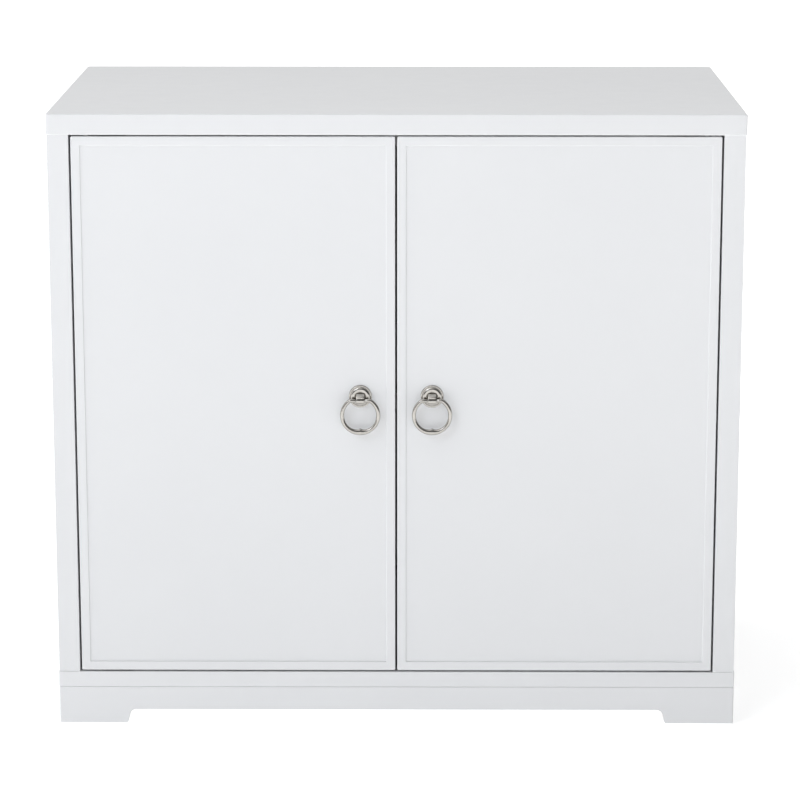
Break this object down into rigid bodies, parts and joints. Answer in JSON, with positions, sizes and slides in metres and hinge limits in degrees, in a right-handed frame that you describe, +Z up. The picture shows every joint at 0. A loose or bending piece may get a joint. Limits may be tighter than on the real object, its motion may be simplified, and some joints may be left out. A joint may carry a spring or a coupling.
{
  "type": "two-door storage cabinet",
  "caption": "Low white cabinet with a thick top, inset doors on concealed pivot hinges, hanging ring pulls, an adjustable shelf and a bracket-foot plinth.",
  "frame": {"origin": "on the floor, in the middle of the overall box, pulls included", "axes": "+Z up; the doors face -Y; +X to the right as seen from the front"},
  "size_m": [0.864, 0.5254, 0.786],
  "materials": {
    "white_lacquer": "satin white lacquer",
    "lacquer_interior": "matte white lacquer",
    "back_board": "white faced hardboard",
    "pine_block": "planed, unfinished",
    "beech_dowel": "fluted, unfinished",
    "polished_nickel": "polished nickel plate",
    "nickel_fitting": "nickel plate",
    "hinge_steel": "bright zinc plate",
    "zinc_screw": "bright zinc plate",
    "magnet": "ground ferrite",
    "white_plastic": "moulded",
    "nylon": "moulded nylon"
  },
  "bodies": {
    "cabinet": {"adjustable_shelf": "lacquer_interior", "back_panel": "back_board", "back_panel_screws": "zinc_screw", "base_back_skirt": "white_lacquer", "base_corner_blocks": "pine_block", "base_front_skirt": "white_lacquer", "base_left_skirt": "white_lacquer", "base_right_skirt": "white_lacquer", "base_screws": "zinc_screw", "bottom_dowels": "beech_dowel", "bottom_panel": "white_lacquer", "catch_body": "white_plastic", "catch_magnets": "magnet", "catch_screws": "zinc_screw", "floor_glides": "nylon", "left_bottom_hinge_cabinet_leaf": "hinge_steel", "left_hinge_cabinet_screws": "zinc_screw", "left_hinge_pins": "hinge_steel", "left_hinge_washers": "hinge_steel", "left_side_panel": "white_lacquer", "left_top_hinge_cabinet_leaf": "hinge_steel", "right_bottom_hinge_cabinet_leaf": "hinge_steel", "right_hinge_cabinet_screws": "zinc_screw", "right_hinge_pins": "hinge_steel", "right_hinge_washers": "hinge_steel", "right_side_panel": "white_lacquer", "right_top_hinge_cabinet_leaf": "hinge_steel", "shelf_pins": "nickel_fitting", "top_dowels": "beech_dowel", "top_panel": "white_lacquer"},
    "left_door": {"left_bottom_hinge_door_leaf": "hinge_steel", "left_door_bottom_edge_trim": "white_lacquer", "left_door_hinge_edge_trim": "white_lacquer", "left_door_meeting_edge_trim": "white_lacquer", "left_door_panel": "white_lacquer", "left_door_top_edge_trim": "white_lacquer", "left_hinge_door_screws": "zinc_screw", "left_pull_backplate": "polished_nickel", "left_pull_post": "polished_nickel", "left_pull_screw": "zinc_screw", "left_strike_plate": "nickel_fitting", "left_strike_screw": "zinc_screw", "left_top_hinge_door_leaf": "hinge_steel"},
    "right_door": {"right_bottom_hinge_door_leaf": "hinge_steel", "right_door_bottom_edge_trim": "white_lacquer", "right_door_hinge_edge_trim": "white_lacquer", "right_door_meeting_edge_trim": "white_lacquer", "right_door_panel": "white_lacquer", "right_door_top_edge_trim": "white_lacquer", "right_hinge_door_screws": "zinc_screw", "right_pull_backplate": "polished_nickel", "right_pull_post": "polished_nickel", "right_pull_screw": "zinc_screw", "right_strike_plate": "nickel_fitting", "right_strike_screw": "zinc_screw", "right_top_hinge_door_leaf": "hinge_steel"},
    "left_ring": {"left_pull_ring": "polished_nickel"},
    "right_ring": {"right_pull_ring": "polished_nickel"}
  },
  "joints": [
    {"name": "left_door_hinge", "type": "hinge", "parent": "cabinet", "child": "left_door", "pos_m": [-0.3835, -0.24125, 0.4155], "axis": [0, 0, -1], "range_deg": [0, 120]},
    {"name": "right_door_hinge", "type": "hinge", "parent": "cabinet", "child": "right_door", "pos_m": [0.3835, -0.24125, 0.4155], "axis": [0, 0, 1], "range_deg": [0, 120]},
    {"name": "left_ring_swing", "type": "hinge", "parent": "left_door", "child": "left_ring", "pos_m": [-0.045, -0.25975, 0.4269], "axis": [-1, 0, 0], "range_deg": [-10.5, 190]},
    {"name": "right_ring_swing", "type": "hinge", "parent": "right_door", "child": "right_ring", "pos_m": [0.045, -0.25975, 0.4269], "axis": [-1, 0, 0], "range_deg": [-10.5, 190]}
  ]
}
